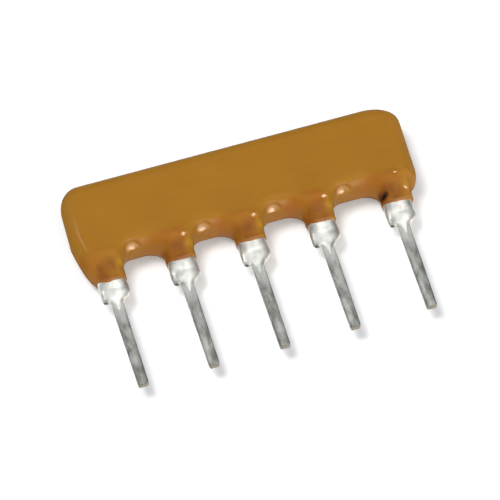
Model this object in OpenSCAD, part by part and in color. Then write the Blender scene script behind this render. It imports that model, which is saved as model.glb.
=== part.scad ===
// Five-lead bussed resistor network: a printed ceramic chip held by clip leads and dipped in epoxy.
// The part lies on its back. X runs along the row of leads, +Y points away from the pins and Z is up.
// Heights in Y are given above the seat, the underside of the lead shoulders, until seated() places them.

/* [Leads] */
// Number of leads in the row
lead_count = 5; // [3:1:9]
// Spacing of the leads
lead_pitch = 2.54; // [2.4:0.01:2.8]
// How far the last lead stands outwards from its true place
last_lead_drift = 0.22; // [0:0.01:0.26]
// Thickness of the lead strip
lead_t = 0.25; // [0.2:0.01:0.28]
// Width of a pin below its shoulder
pin_w = 0.42; // [0.36:0.01:0.52]
// Width of a pin at its tip
tip_w = 0.37; // [0.3:0.01:0.42]
// Size of the corner cuts at a pin's tip
tip_cut = 0.05; // [0.02:0.01:0.1]
// Length of a pin below the seat
pin_length = 3.43; // [2.5:0.01:5]
// Width of the shoulder plate
shoulder_w = 0.94; // [0.88:0.01:1.02]
// Height of the shoulder plate above the seat
shoulder_h = 0.35; // [0.25:0.01:0.45]
// Radius of the shoulder's lower corners
shoulder_r = 0.06; // [0.02:0.01:0.12]
// Width of the front prong
front_prong_w = 0.38; // [0.3:0.01:0.42]
// Slot between the front prong and each back prong
prong_slot = 0.05; // [0.03:0.01:0.07]
// How far the back prongs stand in from the sides of the shoulder plate
prong_inset = 0.04; // [0.02:0.01:0.08]
// Radius of the prong bends, at the middle of the strip
bend_r = 0.5; // [0.35:0.01:0.55]
// Slope of the prongs between their bends
bend_angle = 35; // [30:1:40]
// How far the prongs reach up the ceramic
grip = 1.05; // [0.8:0.01:1.1]

/* [Ceramic and films] */
// Thickness of the ceramic
chip_t = 0.635; // [0.5:0.005:0.7]
// Thickness of each printed film
film_t = 0.03; // [0.02:0.005:0.04]
// Margin between the printed films and the edge of the ceramic
film_margin = 0.1; // [0.05:0.01:0.15]
// Width of a terminal pad
pad_w = 1.5; // [1.3:0.01:1.7]
// Height of the bus bar that joins the resistors
bus_h = 0.3; // [0.2:0.01:0.35]
// Width of the strip between the first pad and the bus bar
riser_w = 0.7; // [0.4:0.01:1]
// Width of a resistor film
resistor_w = 1.3; // [1:0.01:1.4]
// How far a resistor laps over the conductors
film_lap = 0.12; // [0.08:0.01:0.15]
// Width of the trimming cut
kerf_w = 0.05; // [0.03:0.01:0.08]
// Length of the first leg of the trimming cut, from the side of the resistor
kerf_plunge = 0.55; // [0.3:0.01:0.8]
// Length of the second leg of the trimming cut, along the resistor
kerf_leg = 0.25; // [0.1:0.01:0.3]
// Margin of the glass around the resistors
glaze_margin = 0.1; // [0.05:0.01:0.15]

/* [Solder] */
// Thickness of the solder over the clips
solder_skin = 0.06; // [0.04:0.005:0.07]
// Thickness of the solder at the sides of the clips
solder_edge = 0.03; // [0.02:0.005:0.04]
// Length of the solder that runs down each pin
funnel_l = 0.38; // [0.2:0.01:0.6]
// Gap between the prong tips and the end of the solder
solder_cap = 0.05; // [0.03:0.01:0.08]

/* [Coat] */
// Height of the coat's top edge above the seat
body_height = 4.47; // [4.2:0.01:4.9]
// Coat beyond the middle of the first lead
left_overhang = 0.88; // [0.86:0.01:1.1]
// Coat beyond the middle of the last lead
right_overhang = 1; // [0.98:0.01:1.2]
// Coat behind the ceramic
coat_back = 0.45; // [0.4:0.01:0.55]
// Coat in front of the ceramic
coat_front = 0.515; // [0.45:0.005:0.65]
// Coat beyond the ends of the ceramic
coat_end = 0.45; // [0.35:0.01:0.55]
// Coat above the ceramic
coat_top = 0.32; // [0.25:0.01:0.45]
// Coat below the ceramic, between the leads
coat_rim = 0.25; // [0.18:0.01:0.35]
// Depth of the rounding round the coat's edge
edge_round = 0.5; // [0.3:0.01:0.6]
// Height of the arches between the leads
arch_height = 1.5; // [1.4:0.01:1.65]
// How far each arch curves down to the lead on its left
arch_drop = 0.45; // [0.3:0.01:0.5]
// Length of an arch's curve beside the lead on its left
arch_left_run = 0.42; // [0.3:0.01:0.5]
// Length of an arch's curve beside the lead on its right
arch_right_run = 0.62; // [0.3:0.01:0.65]
// Lowest point of the coat on the leads
tab_bottom = 0.52; // [0.45:0.01:0.6]
// Coat at each side of a clip
tab_wall = 0.07; // [0.06:0.01:0.12]
// Depth of the rounding round the end of the coat on a lead
tab_round = 0.25; // [0.2:0.01:0.3]
// How far the front of the coat falls towards its end on a lead
tab_fall = 0.5; // [0.4:0.01:0.52]
// How far the back of the coat rises towards its end on a lead
tab_rise = 0.2; // [0.1:0.01:0.25]
// How far the coat swells over each clip
clip_swell = 0.1; // [0.05:0.01:0.15]
// Half width of the swelling over each clip
swell_half = 0.9; // [0.7:0.01:1.1]
// Length below the clip tips over which the swelling grows to its full height
swell_fade = 1; // [0.8:0.01:1.2]
// Length and height of the upper left corner
top_left = [0.72, 0.7]; // [0.4:0.01:1]
// Length and height of the upper right corner
top_right = [1.2, 0.8]; // [0.4:0.01:1.4]
// Length and height of the lower left corner
low_left = [0.84, 1.9]; // [0.4:0.01:1.9]
// Length and height of the lower right corner
low_right = [0.34, 0.5]; // [0.2:0.01:1]
// Length and height of the hollow between the last clip and the lower right corner
right_hollow = [0.08, 0.15]; // [0.04:0.01:0.2]
// Height of the lower right corner above the seat
right_level = 1.15; // [1.05:0.01:1.3]

/* [Hidden] */

$fn = 48;
// Rounding of every coat edge: 2 is a plain ellipse, more is squarer
edge_power = 2.5;
// Steps along each curve of the coat's outline and round its edge
arc_steps = 6;
rim_steps = 8;
// Points across the flat front and back of the coat
front_stations = 5;
back_stations = 2;
// Steps round each bend of a prong
bend_steps = 6;
// Overlap of a cutting shape past the face that it cuts
cut = 0.1;

body_l = left_overhang + (lead_count - 1) * lead_pitch + last_lead_drift + right_overhang;
half_l = body_l / 2;
seat_y = (pin_length - body_height) / 2;

// Layers, from the back of the coat upwards
chip_z = coat_back;
film_z = chip_z + chip_t;
face_z = film_z + coat_front;
mid_z = chip_z + chip_t / 2;

// Levels above the seat
chip_bottom = arch_height + coat_rim;
chip_top = body_height - coat_top;
chip_l = body_l - 2 * coat_end;
clip_top = chip_bottom + grip;
solder_top = clip_top + solder_cap;
pad_top = solder_top + film_lap + glaze_margin;
bus_bottom = chip_top - film_margin - bus_h;

// The front prong lies on its pad, the back prongs on the bare ceramic
front_shift = chip_t / 2 + film_t + lead_t / 2;
back_shift = chip_t / 2 + lead_t / 2;
back_prong_w = (shoulder_w - front_prong_w) / 2 - prong_slot - prong_inset;
tab_half = shoulder_w / 2 + tab_wall;

// Place of a lead along the row, and of its pad, printed at the true pitch
function pad_x(i) = left_overhang - half_l + (i - 1) * lead_pitch;
function lead_x(i) = pad_x(i) + (i == lead_count ? last_lead_drift : 0);

// Smooth step from 0 to 1
function smooth(t) = let (u = min(max(t, 0), 1)) u * u * (3 - 2 * u);
function mix(a, b, t) = a + (b - a) * t;

// Lift every piece from heights above the seat to the part's own frame
module seated() {
    translate([0, seat_y, 0]) children();
}

// Block between two corners
module block(low, high) {
    translate(low) cube(high - low);
}

// Faces of the skin through a row of closed rings, two triangles for each patch
function skin_faces(rings, points) = [
    for (r = [0:rings - 2], p = [0:points - 1])
        let (q = (p + 1) % points, a = r * points + p, b = r * points + q)
        each [[a, b, a + points], [b, b + points, a + points]]
];

// Flat end of a ring, as triangles round a hub
function fan_faces(start, points, hub) =
    [for (p = [0:points - 1]) [start + p, start + (p + 1) % points, hub]];
function flipped(faces) = [for (face = faces) [face[2], face[1], face[0]]];

// Leads

// Slope between the two bends of a prong that moves out by shift, and the height that it takes in all
function bend_slope(shift) = (shift - 2 * bend_r * (1 - cos(bend_angle))) / sin(bend_angle);
function bend_run(shift) = 2 * bend_r * sin(bend_angle) + bend_slope(shift) * cos(bend_angle);

// Middle line of a prong, as points with the heading there: rooted in the shoulder, out to its face of
// the ceramic in an S, then straight to the tip
function prong_path(shift) = let (
    turns = [for (k = [0:bend_steps]) bend_angle * k / bend_steps]
) concat(
    [[[-shoulder_h / 2, 0], 0]],
    [for (h = turns) [bend_r * [sin(h), 1 - cos(h)], h]],
    [for (k = [bend_steps:-1:0])
        let (h = turns[k])
        [[bend_run(shift), shift] - bend_r * [sin(h), 1 - cos(h)], h]],
    [[[clip_top - shoulder_h, shift], 0]]
);

// One edge of the strip along that line, half its thickness to the side
function strip_edge(path, side) = [
    for (step = path) step[0] + side * lead_t / 2 * [-sin(step[1]), cos(step[1])]
];

module prong_profile(shift) {
    path = prong_path(shift);
    upper = strip_edge(path, 1);
    lower = strip_edge(path, -1);
    polygon(concat(upper, [for (k = [len(lower) - 1:-1:0]) lower[k]]));
}

module prong(width, shift) {
    translate([0, shoulder_h, mid_z])
        rotate([90, 0, 90])
            linear_extrude(width, center = true) prong_profile(shift);
}

module shoulder_profile() {
    translate([-shoulder_w / 2, shoulder_r]) square([shoulder_w, shoulder_h - shoulder_r]);
    translate([-shoulder_w / 2 + shoulder_r, 0]) square([shoulder_w - 2 * shoulder_r, shoulder_h]);
    for (side = [-1, 1])
        translate([side * (shoulder_w / 2 - shoulder_r), shoulder_r]) circle(shoulder_r);
}

module pin_profile() {
    polygon([
        [-pin_w / 2, 0], [-tip_w / 2, tip_cut - pin_length], [tip_cut - tip_w / 2, -pin_length],
        [tip_w / 2 - tip_cut, -pin_length], [tip_w / 2, tip_cut - pin_length], [pin_w / 2, 0]
    ]);
}

module lead_shape() {
    translate([0, 0, mid_z - lead_t / 2])
        linear_extrude(lead_t) {
            shoulder_profile();
            pin_profile();
        }
    prong(front_prong_w, front_shift);
    for (side = [-1, 1])
        translate([side * (front_prong_w / 2 + prong_slot + back_prong_w / 2), 0, 2 * mid_z])
            mirror([0, 0, 1]) prong(back_prong_w, back_shift);
}

module lead(i) {
    color("silver") seated() translate([lead_x(i), 0, 0]) lead_shape();
}

// Ceramic and films

module chip_shape() {
    block([-chip_l / 2, chip_bottom, chip_z], [chip_l / 2, chip_top, film_z]);
}

module ceramic_substrate() {
    color("ivory") seated() chip_shape();
}

module pad_shape(i) {
    block([pad_x(i) - pad_w / 2, chip_bottom + film_margin, film_z],
          [pad_x(i) + pad_w / 2, pad_top, film_z + film_t]);
}

module terminal_pad(i) {
    color("gainsboro") seated() pad_shape(i);
}

module bus_shape() {
    pad_shape(1);
    block([pad_x(1) - riser_w / 2, pad_top, film_z],
          [pad_x(1) + riser_w / 2, bus_bottom, film_z + film_t]);
    block([pad_x(1) - pad_w / 2, bus_bottom, film_z],
          [pad_x(lead_count) + pad_w / 2, bus_bottom + bus_h, film_z + film_t]);
}

module bus_conductor() {
    color("gainsboro") seated() bus_shape();
}

// L-shaped laser cut that sets the value of a resistor
module trim_cut(i) {
    side = pad_x(i) + resistor_w / 2;
    level = (pad_top + bus_bottom - kerf_leg) / 2;
    block([side - kerf_plunge, level, film_z - cut],
        [side + glaze_margin + cut, level + kerf_w, film_z + cut]);
    block([side - kerf_plunge, level, film_z - cut],
          [side - kerf_plunge + kerf_w, level + kerf_leg, film_z + cut]);
}

// The film steps up where it laps over the pad below it and the bus bar above it
module resistor_shape(i) {
    left = pad_x(i) - resistor_w / 2;
    right = pad_x(i) + resistor_w / 2;
    difference() {
        union() {
            block([left, pad_top, film_z], [right, bus_bottom, film_z + film_t]);
            block([left, pad_top - film_lap, film_z + film_t],
                  [right, pad_top + film_t, film_z + 2 * film_t]);
            block([left, bus_bottom - film_t, film_z + film_t],
                  [right, bus_bottom + film_lap, film_z + 2 * film_t]);
        }
        trim_cut(i);
    }
}

module resistor_film(i) {
    color("dimgray") seated() resistor_shape(i);
}

module glaze_block() {
    block([pad_x(2) - resistor_w / 2 - glaze_margin, pad_top - film_lap - glaze_margin, film_z],
          [pad_x(lead_count) + resistor_w / 2 + glaze_margin, bus_bottom + film_lap + glaze_margin,
           film_z + 3 * film_t]);
}

module glaze_shape() {
    difference() {
        glaze_block();
        bus_shape();
        for (i = [2:lead_count]) {
            pad_shape(i);
            resistor_shape(i);
            trim_cut(i);
        }
    }
}

module glass_overglaze() {
    color("darkgreen") seated() glaze_shape();
}

// Solder

// How far a prong has bent away from the lead's middle plane at height y
function prong_bend(y, shift) = shift * smooth((y - shoulder_h) / bend_run(shift));

// Fill of the solder over the front prong, from 1 over the prong to 0 at its sides
function front_fill(x) =
    let (flat = front_prong_w / 2 + solder_edge)
    1 - smooth((abs(x) - flat) / (shoulder_w / 2 - flat - solder_edge));

// Section of the solder at height y, for a half width and the thickness in front and behind
function solder_ring(y, half, front, side, back) = concat(
    [for (k = [rim_steps:-1:-rim_steps])
        let (u = k / rim_steps, x = half * u)
        [x, y, mid_z + mix(side, front, front_fill(x)) - (abs(k) == rim_steps ? side / 3 : 0)]],
    [for (u = [-1, -0.94, -0.4, 0.4, 0.94, 1])
        [half * u, y, mid_z - (abs(u) == 1 ? 0.8 : 1) * back]]);

// The funnel on the pin, then the shoulder, then the prongs up to the end of the solder
clip_half = shoulder_w / 2 + solder_edge;
prong_half = clip_half - prong_inset / 2;
shoulder_skin = lead_t / 2 + solder_edge;
solder_levels = 10;
solder_rings = concat(
    [solder_ring(-funnel_l, pin_w / 8, shoulder_skin - solder_edge / 2, lead_t / 3, 0),
     solder_ring(-funnel_l / 2, pin_w / 4, shoulder_skin, lead_t / 3, 0),
     solder_ring(0, pin_w / 2.2, lead_t / 2 + solder_skin, lead_t / 3, 0),
     solder_ring(solder_edge, shoulder_w / 2 - shoulder_r / 2, lead_t / 2 + solder_skin, shoulder_skin,
                 shoulder_skin)],
    [for (k = [0:solder_levels])
        let (y = mix(2 * shoulder_r, solder_top, k / solder_levels),
             half = mix(clip_half, prong_half, smooth(y / shoulder_h - 1)))
        solder_ring(y, half, lead_t / 2 + solder_skin + prong_bend(y, front_shift), shoulder_skin,
                    lead_t / 2 + solder_skin + prong_bend(y, back_shift))]);

module solder_outer() {
    points = len(solder_rings[0]);
    rings = len(solder_rings);
    hubs = [[0, -funnel_l, mid_z + lead_t / 4], [0, solder_top, mid_z]];
    polyhedron(
        concat([for (ring = solder_rings) each ring], hubs),
        concat(skin_faces(rings, points), flipped(fan_faces(0, points, rings * points)),
               fan_faces((rings - 1) * points, points, rings * points + 1)));
}

module solder_joint(i) {
    color("whitesmoke") seated() difference() {
        translate([lead_x(i), 0, 0]) solder_outer();
        translate([lead_x(i), 0, 0]) lead_shape();
        chip_shape();
        if (i == 1) bus_shape();
        else pad_shape(i);
    }
}

// Coat

// Front of the coat at a place: flat, swollen over the clips and falling towards the ends on the leads
function nearest_lead(x) = min([for (i = [1:lead_count]) abs(x - lead_x(i))]);
function tab_share(y) = smooth((chip_bottom - coat_rim / 2 - y) / (chip_bottom - coat_rim / 2 - tab_bottom));
function swell(x, y) =
    clip_swell * (1 - smooth(nearest_lead(x) / swell_half)) * smooth((clip_top - y) / swell_fade);
function front_z(x, y) = face_z + swell(x, y) - tab_fall * tab_share(y);
function back_z(y) = tab_rise * tab_share(y);

// A point of the outline on an arc, the way into the coat there and the depth of the edge rounding.
// The coat is inside a convex arc (way -1) and outside an arch's arc (way 1).
function arc_point(center, radii, angle, way, depth) = [
    [center.x + radii.x * cos(angle), center.y + radii.y * sin(angle)],
    way * [cos(angle), sin(angle)],
    depth
];
function arc_points(center, radii, from, to, way, depth_from, depth_to) = [
    for (k = [0:arc_steps])
        let (t = k / arc_steps)
        arc_point(center, radii, mix(from, to, t), way, mix(depth_from, depth_to, t))
];

// One arch with the halves of the tabs on either side of it
function arch_points(i) = let (
    tab_y = tab_bottom + tab_round,
    arch_y = arch_height - arch_drop,
    right_lead = lead_x(i + 1)
) concat(
    arc_points([lead_x(i), tab_y], [tab_half, tab_round], 270, 360, -1, tab_round, tab_round),
    arc_points([lead_x(i) + tab_half + arch_left_run, arch_y], [arch_left_run, arch_drop],
               180, 90, 1, tab_round, edge_round),
    arc_points([right_lead - tab_half - arch_right_run, arch_y], [arch_right_run, arch_drop],
               90, 0, 1, edge_round, tab_round),
    [for (k = [0:arc_steps - 1])
        arc_point([right_lead, tab_y], [tab_half, tab_round], mix(180, 270, k / arc_steps), -1, tab_round)]
);

lower_outline = concat(
    arc_points([low_left.x - half_l, tab_bottom + low_left.y], low_left,
        180, 270, -1, edge_round, tab_round),
    [for (i = [1:lead_count - 1]) each arch_points(i)],
    arc_points([lead_x(lead_count), tab_bottom + tab_round], [tab_half, tab_round],
               270, 360, -1, tab_round, tab_round),
    arc_points([lead_x(lead_count) + tab_half + right_hollow.x, right_level - right_hollow.y], right_hollow,
               180, 90, 1, tab_round, tab_round),
    arc_points([half_l - low_right.x, right_level + low_right.y], low_right,
        270, 360, -1, tab_round, edge_round)
);
outline_count = len(lower_outline);

// Upper outline at the same count of points, each about above its lower one
function upper_x(k) = (lower_outline[k][0].x + mix(-half_l, half_l, k / (outline_count - 1))) / 2;
function upper_point(k) = let (
    x = upper_x(k),
    left = min(0, (x - (top_left.x - half_l)) / top_left.x),
    right = max(0, (x - (half_l - top_right.x)) / top_right.x),
    corner = right > 0 ? top_right : top_left,
    angle = acos(right > 0 ? min(right, 1) : max(left, -1))
) [[x, body_height - corner.y * (1 - sin(angle))], -[cos(angle), sin(angle)], edge_round];

// The rounded rim from front to back at one point of the outline
function rim(point) = let (
    inner = point[0] + point[1] * point[2],
    front = front_z(inner.x, inner.y),
    back = back_z(inner.y)
) [for (k = [0:rim_steps])
    let (angle = 180 * k / rim_steps,
         out = pow(sin(angle), 2 / edge_power),
         over = sign(cos(angle)) * pow(abs(cos(angle)), 2 / edge_power),
         place = point[0] + point[1] * point[2] * (1 - out))
    [place.x, place.y, mix(back, front, (1 + over) / 2)]];

// One ring of the coat: across the front, over the top rim, across the back and round the lower rim
function coat_ring(k) = let (
    upper = rim(upper_point(k)),
    lower = rim(lower_outline[k])
) concat(
    [for (s = [1:front_stations])
        let (place = mix(lower[0], upper[0], s / (front_stations + 1)))
        [place.x, place.y, front_z(place.x, place.y)]],
    upper,
    [for (s = [1:back_stations])
        let (place = mix(upper[rim_steps], lower[rim_steps], s / (back_stations + 1)))
        [place.x, place.y, back_z(place.y)]],
    [for (p = [rim_steps:-1:0]) lower[p]]
);

// End of the coat: narrow strips between the upper and lower rims, the outer two with the stations
function end_faces(start, points) = let (
    upper = start + front_stations,
    lower = start + points - 1,
    back = upper + rim_steps
) concat(
    [for (s = [0:front_stations]) [upper + 1, start + (points - 1 + s) % points, start + s]],
    [[upper + 1, lower - 1, lower]],
    [for (p = [1:rim_steps - 2])
        each [[upper + p, upper + p + 1, lower - p], [upper + p + 1, lower - p - 1, lower - p]]],
    [[back - 1, lower - rim_steps, lower - rim_steps + 1]],
    [for (s = [0:back_stations]) [back - 1, back + s, back + s + 1]]
);

module coat_outer() {
    rings = [for (k = [0:outline_count - 1]) coat_ring(k)];
    points = len(rings[0]);
    polyhedron(
        [for (ring = rings) each ring],
        concat(skin_faces(outline_count, points), flipped(end_faces(0, points)),
               end_faces((outline_count - 1) * points, points)));
}

module conformal_coat() {
    color("darkgoldenrod") seated() difference() {
        coat_outer();
        chip_shape();
        bus_shape();
        for (i = [2:lead_count]) {
            pad_shape(i);
            resistor_shape(i);
        }
        glaze_shape();
        for (i = [1:lead_count]) translate([lead_x(i), 0, 0]) solder_outer();
    }
}

conformal_coat();
ceramic_substrate();
glass_overglaze();
bus_conductor();
for (i = [2:lead_count]) {
    terminal_pad(i);
    resistor_film(i);
}
for (i = [1:lead_count]) {
    solder_joint(i);
    lead(i);
}
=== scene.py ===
# Dresses a five-lead resistor network: the dipped epoxy skin, the soldered clips and the tinned leads.
import bpy
import bmesh
import math
import numpy as np
from mathutils import Matrix, Vector
from mathutils.geometry import delaunay_2d_cdt


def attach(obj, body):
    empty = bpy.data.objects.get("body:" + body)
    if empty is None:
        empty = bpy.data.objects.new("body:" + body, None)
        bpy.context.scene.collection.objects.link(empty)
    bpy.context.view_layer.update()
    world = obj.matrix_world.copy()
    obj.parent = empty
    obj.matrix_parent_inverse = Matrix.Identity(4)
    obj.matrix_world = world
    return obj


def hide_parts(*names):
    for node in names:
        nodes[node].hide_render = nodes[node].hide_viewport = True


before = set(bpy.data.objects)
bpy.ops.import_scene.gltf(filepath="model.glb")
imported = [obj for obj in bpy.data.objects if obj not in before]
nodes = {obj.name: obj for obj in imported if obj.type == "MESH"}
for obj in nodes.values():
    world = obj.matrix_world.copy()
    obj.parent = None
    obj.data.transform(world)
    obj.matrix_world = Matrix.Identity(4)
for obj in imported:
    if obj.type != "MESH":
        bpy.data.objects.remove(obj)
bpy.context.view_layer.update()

MM = 0.001

# Sizes of the part in millimetres. Heights are above the seat, the underside of the lead shoulders.
LEAD_COUNT = 5
PITCH = 2.54
# The last lead stands a little outwards of its true place
LAST_DRIFT = 0.22
LEAD_T = 0.25
PIN_W, TIP_W, TIP_CUT, PIN_LENGTH = 0.42, 0.37, 0.05, 3.43
SHOULDER_W, SHOULDER_H, SHOULDER_R = 0.94, 0.35, 0.06
# The solder wraps the clip, so the strip inside it is drawn a little narrower than the shoulder
WRAPPED_W = 0.62
FRONT_PRONG_W, PRONG_SLOT, PRONG_INSET = 0.38, 0.05, 0.04
STRIP_EDGE, PRONG_EDGE = 0.03, 0.02
# Solder runs thin down the pin between these distances below the seat, and the end of its tip is bare
WASH_FULL, WASH_END, BARE_FULL, BARE_FROM = 0.25, 1.1, 0.015, 0.035
BEND_R, BEND_ANGLE = 0.5, math.radians(35)
# How far the prongs bend out of the strip to the front and back of the ceramic
FRONT_SHIFT, BACK_SHIFT = 0.4725, 0.4425
BODY_HEIGHT, LEFT_OVERHANG, RIGHT_OVERHANG = 4.47, 0.88, 1.0
BODY_L = LEFT_OVERHANG + (LEAD_COUNT - 1) * PITCH + LAST_DRIFT + RIGHT_OVERHANG
HALF_L = BODY_L / 2
SEAT_Y = (PIN_LENGTH - BODY_HEIGHT) / 2
FACE_Z, MID_Z = 1.6, 0.7675
CHIP_BOTTOM, CLIP_TOP, SOLDER_TOP = 1.75, 2.8, 2.85
LEAD_X = [LEFT_OVERHANG - HALF_L + i * PITCH for i in range(LEAD_COUNT)]
LEAD_X[-1] += LAST_DRIFT

# Coat: its rounded edge, the arches between the leads and the tabs that hang on them
TOP_TRIM = 0.02
COAT_TOP = BODY_HEIGHT - TOP_TRIM
EDGE_ROUND, END_ROUND, EDGE_POWER = 0.5, 0.65, 2.5
ARCH_HEIGHT, ARCH_DROP, ARCH_LEFT, ARCH_RIGHT = 1.53, 0.45, 0.42, 0.62
TAB_BOTTOM, TAB_ROUND, TAB_FALL, TAB_RISE = 0.6, 0.25, 0.52, 0.2
TAB_COVER, TAB_SHIFT, TAB_POWER = 0.07, 0.07, 1.7
TAB_HALF = SHOULDER_W / 2 + TAB_COVER
TAB_LEAD_IN = 0.125
# The coat hangs lower on the first lead
FIRST_TAB = 0.52
# It swells over each clip and bulges over the front prong
CLIP_SWELL, SWELL_HALF, SWELL_FADE = 0.05, 0.9, 1.0
PRONG_BULGE, PRONG_HALF, BULGE_TOP, BULGE_FADE = 0.05, 0.34, 2.0, 0.7
# Radii of the corners, along the body and up
TOP_LEFT, TOP_RIGHT = (0.72, 0.7), (1.12, 0.76)
LOW_LEFT, LOW_RIGHT, LOW_LEFT_Y = (0.85, 1.9), (0.27, 0.5), 0.5
RIGHT_HOLLOW, RIGHT_LEVEL, RIGHT_TAB_EXTRA = (0.06, 0.15), 1.25, 0.06
# The ends bow out: how far, from which height, and over which length
LEFT_BOW, LEFT_BOW_Y, LEFT_BOW_HALF = 0.09, 2.75, 0.75
RIGHT_BOW, RIGHT_BOW_Y, RIGHT_BOW_RISE = 0.07, 1.2, 1.8
# Beads where the wet coat gathered: the leads they lie beside, place from the lead, and reach
GATHERED = [(LEAD_X[:-1], (1.06, 1.55, 1.21), 0.36),
            (LEAD_X[1:-1], (0.345, 1.41, 1.6), 0.2),
            (LEAD_X[-1:], (0.45, 1.1, 1.29), 0.2),
            (LEAD_X[-1:], (0.2, 1.59, 1.66), 0.14),
            (LEAD_X[1:-1:2], (0.43, 0.75, 0.96), 0.16)]
BEADS = [((lead + x, y, z), reach) for leads, (x, y, z), reach in GATHERED for lead in leads]
# The way that the flat tops of the beads face, and the radius of those tops
BEAD_WAY = np.array([0.1, -0.8, 0.59])
BEAD_WAY /= np.linalg.norm(BEAD_WAY)
BEAD_CURVE = 1.2
# The burnt pit beside the last lead
PIT, PIT_R, PIT_DEPTH = (LEAD_X[-1] - 0.36, 1.0), 0.11, 0.07

# Colour of the coat. In a pair a shade starts at the first value, a height or a facing, and comes in over the
# length of the second.
# Painted shade, redder, on the low band under the ceramic, which faces away from the light
LOW_SHADE_HEIGHT, LOW_SHADE_LEAST, LOW_SHADE_RIGHT_END = (1.85, -0.25), 0.1, 0.3
# Under each arch the painted shade comes in and goes again at these distances from the lead on its right
LOW_SHADE_IN, LOW_SHADE_OUT = (-1.5, -0.9), (0.1, 0.5)
# Painted shade, dark brown, low on the tabs over the leads
TAB_SHADE_HEIGHT, TAB_SHADE_X, TAB_SHADE_HALF = (1.5, -0.4), -0.05, 0.42
# Painted pale light over the right edge of a clip: middle, half sizes and strength, less on the last lead
LIT_SIDE_AT, LIT_SIDE_HALF, LIT_SIDE_MOST, LIT_SIDE_LAST = (0.5, 1.14), (0.13, 0.11), 0.65, 0.25
# Painted shade in dark lines, by the way the surface faces: along the top edge, the ends and round the back
TOP_LINE, TOP_LINE_HALF, TOP_LINE_SHARE, TOP_LINE_EASE = 0.49, 0.2, 0.9, (0.0, 0.909)
END_LINE_TILT, END_LINE_HALF, END_LINE_SHARE, END_LINE_EASE = 0.15, 0.1, 0.45, (2 / 3, 1 / 3)
BACK_LINE_IN, BACK_LINE_OUT = (-0.1, -0.3), (-1.0, 0.4)
EDGE_DARKNESS = 0.75
# The sides are dull except where they face the pins
DULL_SIDE, DULL_AWAY = (0.75, -0.4), (-0.6, 0.4)
# The wet middle of a bead as a share of its reach, and the wet streak down the left end
WET_SHARE = 0.5
STREAK_TOP, STREAK_END, STREAK_HALF, STREAK_LEAST = (0.29 - HALF_L, 2.9), (0.35 - HALF_L, 1.85), 0.13, 0.5
# The scorched skin round the pit and its paler tail
SCORCH_HALF, TAIL_AT, TAIL_HALF, TAIL_SHARE = (0.15, 0.11), (PIT[0] - 0.17, PIT[1] + 0.1), (0.16, 0.1), 0.8

# Solder: its skin over the clip, spread further to the right of each clip than to its left
SOLDER_SKIN, SOLDER_EDGE, SOLDER_RISE, DOME_POWER = 0.06, 0.03, 0.12, 2.3
LEFT_TRIM, RIGHT_SPREAD, INNER_LEFT = 0.025, 0.08, 0.33
TONGUE_L, TONGUE_EASE = 0.62, 1.2
# It starts this much below the front of the strip, so that the tongue ends in no step
SOLDER_SINK = 0.006
# Levels of the tongue and the corners of the clip: height, half width on the left and right, and back
TONGUE = [(-TONGUE_L, 0.02, 0.03, 0.0), (-0.54, 0.06, 0.08, 0.01), (-0.45, 0.1, 0.12, 0.02),
          (-0.36, 0.135, 0.16, 0.03), (-0.27, 0.17, 0.195, 0.05), (-0.18, 0.205, 0.23, 0.07),
          (-0.1, 0.26, 0.28, 0.1), (-0.04, 0.33, 0.34, 0.13)]
CORNER_RIGHT = 0.52
CLIP_HALF = SHOULDER_W / 2 + SOLDER_EDGE
CORNER = [(-0.028, 0.4, 0.355, 0.15), (-0.01, 0.435, 0.385, 0.16), (0.025, 0.46, 0.43, 0.17),
          (0.07, 0.472, 0.475, 0.18), (0.12, CLIP_HALF - LEFT_TRIM, CORNER_RIGHT, 0.185)]
# Above them: the first level and the count, then the height and length of each change of section
CLIP_FROM, CLIP_LEVELS = 0.17, 54
SKIN_THINS, SPREAD_ENDS, SPREAD_STARTS, LEFT_NARROWS = (0.5, 0.4), (0.7, 0.5), (0.1, 0.12), (0.76, 0.22)
# Painted shade under the left corner's ledge: how far it faces down, its heights and its distance from the
# lead
LEDGE_FACING, LEDGE_LOW, LEDGE_HIGH, LEDGE_FROM = (-0.45, -0.35), -0.06, 0.05, (0.27, 0.06)
SOLDER_RIPPLE, SOLDER_RIPPLE_SIZE = 0.014, 0.4

# Fineness of the meshes
ARC_STEPS, RIM_ROWS, RIM_SPACING = 32, 32, 0.04
SECTION_STEPS, BEND_STEPS, QUARTER_STEPS, BEVEL_STEPS = 36, 10, 6, 3
COARSE, FINE, FINE_TOP, EDGE_CLEAR = 0.1, 0.035, CHIP_BOTTOM + 0.15, 0.6
MERGE_WITHIN, SAME_PLACE, SAME_FLAT = 0.0005, 1e-6, 1e-7
# Edges sharper than this many radians are bevelled
SHARP = 0.5


def smooth(t):
    """Eases from 0 to 1, and stays there."""
    u = np.clip(t, 0, 1)
    return u * u * (3 - 2 * u)


def ramp(value, start, length):
    """Eases from 0 at the start to 1 a length further on. A negative length runs the other way."""
    return smooth((value - start) / length)


def mix(a, b, t):
    """From a to b as t goes from 0 to 1."""
    return a + (b - a) * t


def oval(x, y, middle, half):
    """Squared distance from the middle of an oval, which is 1 on its outline."""
    return ((x - middle[0]) / half[0]) ** 2 + ((y - middle[1]) / half[1]) ** 2


def link(name, data):
    """A new object of the scene, at the origin."""
    obj = bpy.data.objects.new(name, data)
    bpy.context.scene.collection.objects.link(obj)
    return obj


def mesh_object(name, points, faces, material):
    """A mesh object at the origin, from points in millimetres above the seat."""
    placed = (np.array(points, dtype=float) + [0, SEAT_Y, 0]) * MM
    mesh = bpy.data.meshes.new(name)
    mesh.from_pydata(placed.tolist(), [], faces)
    mesh.validate()
    mesh.update()
    mesh.materials.append(material)
    return link(name, mesh)


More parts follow.
